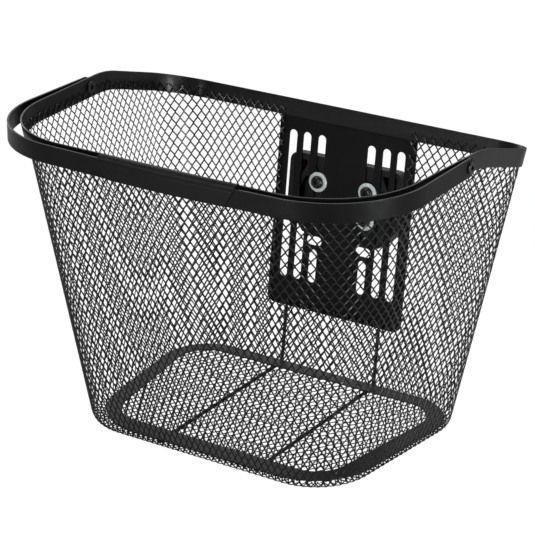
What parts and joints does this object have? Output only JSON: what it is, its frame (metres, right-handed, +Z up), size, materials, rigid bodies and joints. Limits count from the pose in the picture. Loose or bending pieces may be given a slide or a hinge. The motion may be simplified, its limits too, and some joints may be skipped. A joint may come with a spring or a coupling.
{
  "type": "handlebar basket",
  "caption": "Tapered black expanded-metal bicycle basket with a flat steel rim, a folding carrying handle and a quick-release plate on its back wall.",
  "frame": {"origin": "centre of the bounding box's bottom face, level with the undersides of the support wires", "axes": "+Z up, -Y towards the front where the grip is, +Y towards the handlebar, +X to the right seen from the front"},
  "size_m": [0.3654, 0.2848, 0.2646],
  "materials": {
    "powder_coat": "satin black powder coat",
    "mesh_coat": "satin black powder coat on expanded metal",
    "plate_coat": "satin black powder coat",
    "handle_coat": "satin black powder coat",
    "grip_plastic": "fine-grained black moulding",
    "adapter_plastic": "black glass-filled moulding",
    "black_rivet": "black plated steel",
    "spacer_nylon": "black nylon",
    "black_screw": "black oxide steel",
    "zinc": "bright zinc plate"
  },
  "bodies": {
    "basket": {"rim_band": "powder_coat", "wall_mesh": "mesh_coat", "floor_mesh": "mesh_coat", "floor_ring": "powder_coat", "support_wire_left": "powder_coat", "support_wire_right": "powder_coat", "mounting_plate": "plate_coat", "adapter_plate": "adapter_plastic", "pivot_rivet_left": "black_rivet", "pivot_spacer_left": "spacer_nylon", "pivot_flare_left": "black_rivet", "pivot_rivet_right": "black_rivet", "pivot_spacer_right": "spacer_nylon", "pivot_flare_right": "black_rivet", "adapter_screw_1": "black_screw", "adapter_washer_1": "zinc", "adapter_nut_1": "zinc", "adapter_screw_2": "black_screw", "adapter_washer_2": "zinc", "adapter_nut_2": "zinc", "adapter_screw_3": "black_screw", "adapter_washer_3": "zinc", "adapter_nut_3": "zinc", "adapter_screw_4": "black_screw", "adapter_washer_4": "zinc", "adapter_nut_4": "zinc"},
    "handle": {"handle_band": "handle_coat", "handle_grip": "grip_plastic"}
  },
  "joints": [
    {"name": "handle_swing", "type": "hinge", "parent": "basket", "child": "handle", "pos_m": [0, 0.0114, 0.2545], "axis": [-1, 0, 0], "range_deg": [0, 110]}
  ]
}
